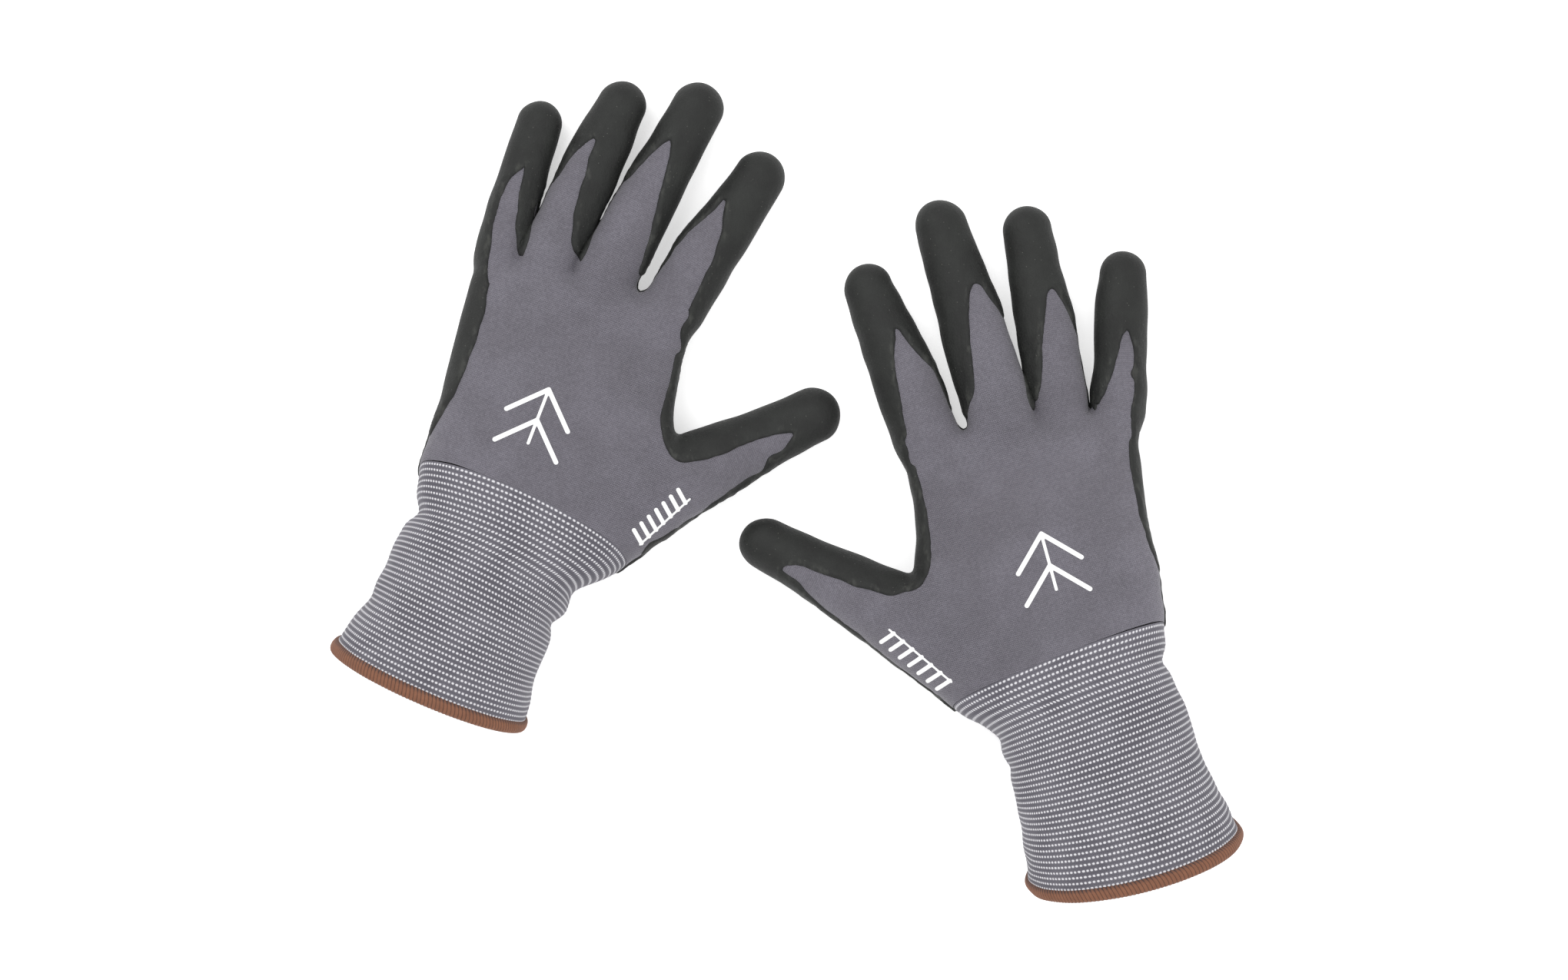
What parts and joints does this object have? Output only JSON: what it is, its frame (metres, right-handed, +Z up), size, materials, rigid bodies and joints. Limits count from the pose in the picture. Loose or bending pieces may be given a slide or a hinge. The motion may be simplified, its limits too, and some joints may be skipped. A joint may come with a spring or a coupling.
{
  "type": "work gloves",
  "caption": "Pair of seamless-knit work gloves with a foam-dipped palm and fingertips, ribbed cuff and overlocked hem.",
  "frame": {"origin": "middle of the pair on the surface that it lies on", "axes": "+X towards the right-hand glove, +Y towards the fingertips, +Z up from the surface, with the gloves palm down"},
  "size_m": [0.347, 0.31, 0.0433],
  "materials": {
    "liner_knit": "matte fine knit",
    "rib_knit": "matte rib knit",
    "hem_thread": "matte overlock thread",
    "foam_coating": "matte foam",
    "print_ink": "matte transfer print"
  },
  "bodies": {
    "left_hand": {"left_hand_liner": "liner_knit", "left_palm_coating": "foam_coating", "left_cuff_upper": "rib_knit", "left_back_print": "print_ink", "left_side_print": "print_ink"},
    "left_cuff": {"left_cuff_lower": "rib_knit", "left_cuff_hem": "hem_thread"},
    "left_knuckles": {"left_knuckle_liner": "liner_knit", "left_knuckle_coating": "foam_coating"},
    "left_index_mid": {"left_index_mid_liner": "liner_knit", "left_index_mid_coating": "foam_coating"},
    "left_index_tip": {"left_index_tip_liner": "liner_knit", "left_index_tip_coating": "foam_coating"},
    "left_middle_mid": {"left_middle_mid_liner": "liner_knit", "left_middle_mid_coating": "foam_coating"},
    "left_middle_tip": {"left_middle_tip_liner": "liner_knit", "left_middle_tip_coating": "foam_coating"},
    "left_ring_mid": {"left_ring_mid_liner": "liner_knit", "left_ring_mid_coating": "foam_coating"},
    "left_ring_tip": {"left_ring_tip_liner": "liner_knit", "left_ring_tip_coating": "foam_coating"},
    "left_little_mid": {"left_little_mid_liner": "liner_knit", "left_little_mid_coating": "foam_coating"},
    "left_little_tip": {"left_little_tip_liner": "liner_knit", "left_little_tip_coating": "foam_coating"},
    "left_thumb_base": {"left_thumb_base_liner": "liner_knit", "left_thumb_base_coating": "foam_coating"},
    "left_thumb_tip": {"left_thumb_tip_liner": "liner_knit", "left_thumb_tip_coating": "foam_coating"},
    "right_hand": {"right_hand_liner": "liner_knit", "right_palm_coating": "foam_coating", "right_cuff_upper": "rib_knit", "right_back_print": "print_ink", "right_side_print": "print_ink"},
    "right_cuff": {"right_cuff_lower": "rib_knit", "right_cuff_hem": "hem_thread"},
    "right_knuckles": {"right_knuckle_liner": "liner_knit", "right_knuckle_coating": "foam_coating"},
    "right_index_mid": {"right_index_mid_liner": "liner_knit", "right_index_mid_coating": "foam_coating"},
    "right_index_tip": {"right_index_tip_liner": "liner_knit", "right_index_tip_coating": "foam_coating"},
    "right_middle_mid": {"right_middle_mid_liner": "liner_knit", "right_middle_mid_coating": "foam_coating"},
    "right_middle_tip": {"right_middle_tip_liner": "liner_knit", "right_middle_tip_coating": "foam_coating"},
    "right_ring_mid": {"right_ring_mid_liner": "liner_knit", "right_ring_mid_coating": "foam_coating"},
    "right_ring_tip": {"right_ring_tip_liner": "liner_knit", "right_ring_tip_coating": "foam_coating"},
    "right_little_mid": {"right_little_mid_liner": "liner_knit", "right_little_mid_coating": "foam_coating"},
    "right_little_tip": {"right_little_tip_liner": "liner_knit", "right_little_tip_coating": "foam_coating"},
    "right_thumb_base": {"right_thumb_base_liner": "liner_knit", "right_thumb_base_coating": "foam_coating"},
    "right_thumb_tip": {"right_thumb_tip_liner": "liner_knit", "right_thumb_tip_coating": "foam_coating"}
  },
  "joints": [
    {"name": "left_wrist_fold", "type": "hinge", "parent": "left_hand", "child": "left_cuff", "pos_m": [-0.11795, -0.03853, 0.0189], "axis": [-0.9063, 0.4226, 0], "range_deg": [-30, 30]},
    {"name": "left_knuckle_fold", "type": "hinge", "parent": "left_hand", "child": "left_knuckles", "pos_m": [-0.07995, 0.06247, 0.0129], "axis": [-0.9397, 0.342, 0], "range_deg": [0, 70]},
    {"name": "left_index_mid_fold", "type": "hinge", "parent": "left_knuckles", "child": "left_index_mid", "pos_m": [-0.02965, 0.08828, 0.00952], "axis": [-0.8513, 0.5247, 0], "range_deg": [0, 90]},
    {"name": "left_index_tip_fold", "type": "hinge", "parent": "left_index_mid", "child": "left_index_tip", "pos_m": [-0.01726, 0.10645, 0.00852], "axis": [-0.8226, 0.5686, 0], "range_deg": [0, 60]},
    {"name": "left_middle_mid_fold", "type": "hinge", "parent": "left_knuckles", "child": "left_middle_mid", "pos_m": [-0.05484, 0.10523, 0.00986], "axis": [-0.8796, 0.4756, 0], "range_deg": [0, 90]},
    {"name": "left_middle_tip_fold", "type": "hinge", "parent": "left_middle_mid", "child": "left_middle_tip", "pos_m": [-0.04219, 0.12815, 0.00878], "axis": [-0.8714, 0.4906, 0], "range_deg": [0, 60]},
    {"name": "left_ring_mid_fold", "type": "hinge", "parent": "left_knuckles", "child": "left_ring_mid", "pos_m": [-0.08029, 0.10909, 0.009], "axis": [-0.9061, 0.4231, 0], "range_deg": [0, 90]},
    {"name": "left_ring_tip_fold", "type": "hinge", "parent": "left_ring_mid", "child": "left_ring_tip", "pos_m": [-0.06977, 0.13056, 0.0084], "axis": [-0.8952, 0.4457, 0], "range_deg": [0, 60]},
    {"name": "left_little_mid_fold", "type": "hinge", "parent": "left_knuckles", "child": "left_little_mid", "pos_m": [-0.10401, 0.10686, 0.0071], "axis": [-0.9596, 0.2815, 0], "range_deg": [0, 90]},
    {"name": "left_little_tip_fold", "type": "hinge", "parent": "left_little_mid", "child": "left_little_tip", "pos_m": [-0.09826, 0.12599, 0.00676], "axis": [-0.9574, 0.2888, 0], "range_deg": [0, 60]},
    {"name": "left_thumb_base_fold", "type": "hinge", "parent": "left_hand", "child": "left_thumb_base", "pos_m": [-0.03195, 0.00547, 0.01247], "axis": [-0.4258, 0.8001, 0.4226], "range_deg": [0, 35]},
    {"name": "left_thumb_tip_fold", "type": "hinge", "parent": "left_thumb_base", "child": "left_thumb_tip", "pos_m": [-0.00536, 0.01793, 0.00931], "axis": [-0.3446, 0.8382, 0.4226], "range_deg": [0, 60]},
    {"name": "right_wrist_fold", "type": "hinge", "parent": "right_hand", "child": "right_cuff", "pos_m": [0.12005, -0.09503, 0.0189], "axis": [-0.9466, -0.3223, 0], "range_deg": [-30, 30]},
    {"name": "right_knuckle_fold", "type": "hinge", "parent": "right_hand", "child": "right_knuckles", "pos_m": [0.09335, 0.00597, 0.0129], "axis": [-0.9703, -0.2419, 0], "range_deg": [0, 70]},
    {"name": "right_index_mid_fold", "type": "hinge", "parent": "right_knuckles", "child": "right_index_mid", "pos_m": [0.04704, 0.04131, 0.01018], "axis": [-0.9332, -0.3594, 0], "range_deg": [0, 90]},
    {"name": "right_index_tip_fold", "type": "hinge", "parent": "right_index_mid", "child": "right_index_tip", "pos_m": [0.03865, 0.06147, 0.00898], "axis": [-0.9219, -0.3874, 0], "range_deg": [0, 60]},
    {"name": "right_middle_mid_fold", "type": "hinge", "parent": "right_knuckles", "child": "right_middle_mid", "pos_m": [0.07544, 0.05428, 0.01037], "axis": [-0.9553, -0.2956, 0], "range_deg": [0, 90]},
    {"name": "right_middle_tip_fold", "type": "hinge", "parent": "right_middle_mid", "child": "right_middle_tip", "pos_m": [0.06708, 0.08036, 0.00924], "axis": [-0.9477, -0.3191, 0], "range_deg": [0, 60]},
    {"name": "right_ring_mid_fold", "type": "hinge", "parent": "right_knuckles", "child": "right_ring_mid", "pos_m": [0.10268, 0.05502, 0.0095], "axis": [-0.9855, -0.1695, 0], "range_deg": [0, 90]},
    {"name": "right_ring_tip_fold", "type": "hinge", "parent": "right_ring_mid", "child": "right_ring_tip", "pos_m": [0.09809, 0.07972, 0.00856], "axis": [-0.9725, -0.2329, 0], "range_deg": [0, 60]},
    {"name": "right_little_mid_fold", "type": "hinge", "parent": "right_knuckles", "child": "right_little_mid", "pos_m": [0.13045, 0.04851, 0.00841], "axis": [-0.9984, 0.0559, 0], "range_deg": [0, 90]},
    {"name": "right_little_tip_fold", "type": "hinge", "parent": "right_little_mid", "child": "right_little_tip", "pos_m": [0.13091, 0.06788, 0.00765], "axis": [-0.9999, 0.0112, 0], "range_deg": [0, 60]},
    {"name": "right_thumb_base_fold", "type": "hinge", "parent": "right_hand", "child": "right_thumb_base", "pos_m": [0.03205, -0.04403, 0.01196], "axis": [-0.4348, -0.7952, -0.4226], "range_deg": [0, 35]},
    {"name": "right_thumb_tip_fold", "type": "hinge", "parent": "right_thumb_base", "child": "right_thumb_tip", "pos_m": [0.00819, -0.03126, 0.00904], "axis": [-0.416, -0.8052, -0.4226], "range_deg": [0, 60]},
    {"name": "right_lift", "type": "slide", "parent": "left_hand", "child": "right_hand", "axis": [0, 0, 1], "range_m": [0, 0.15]}
  ]
}
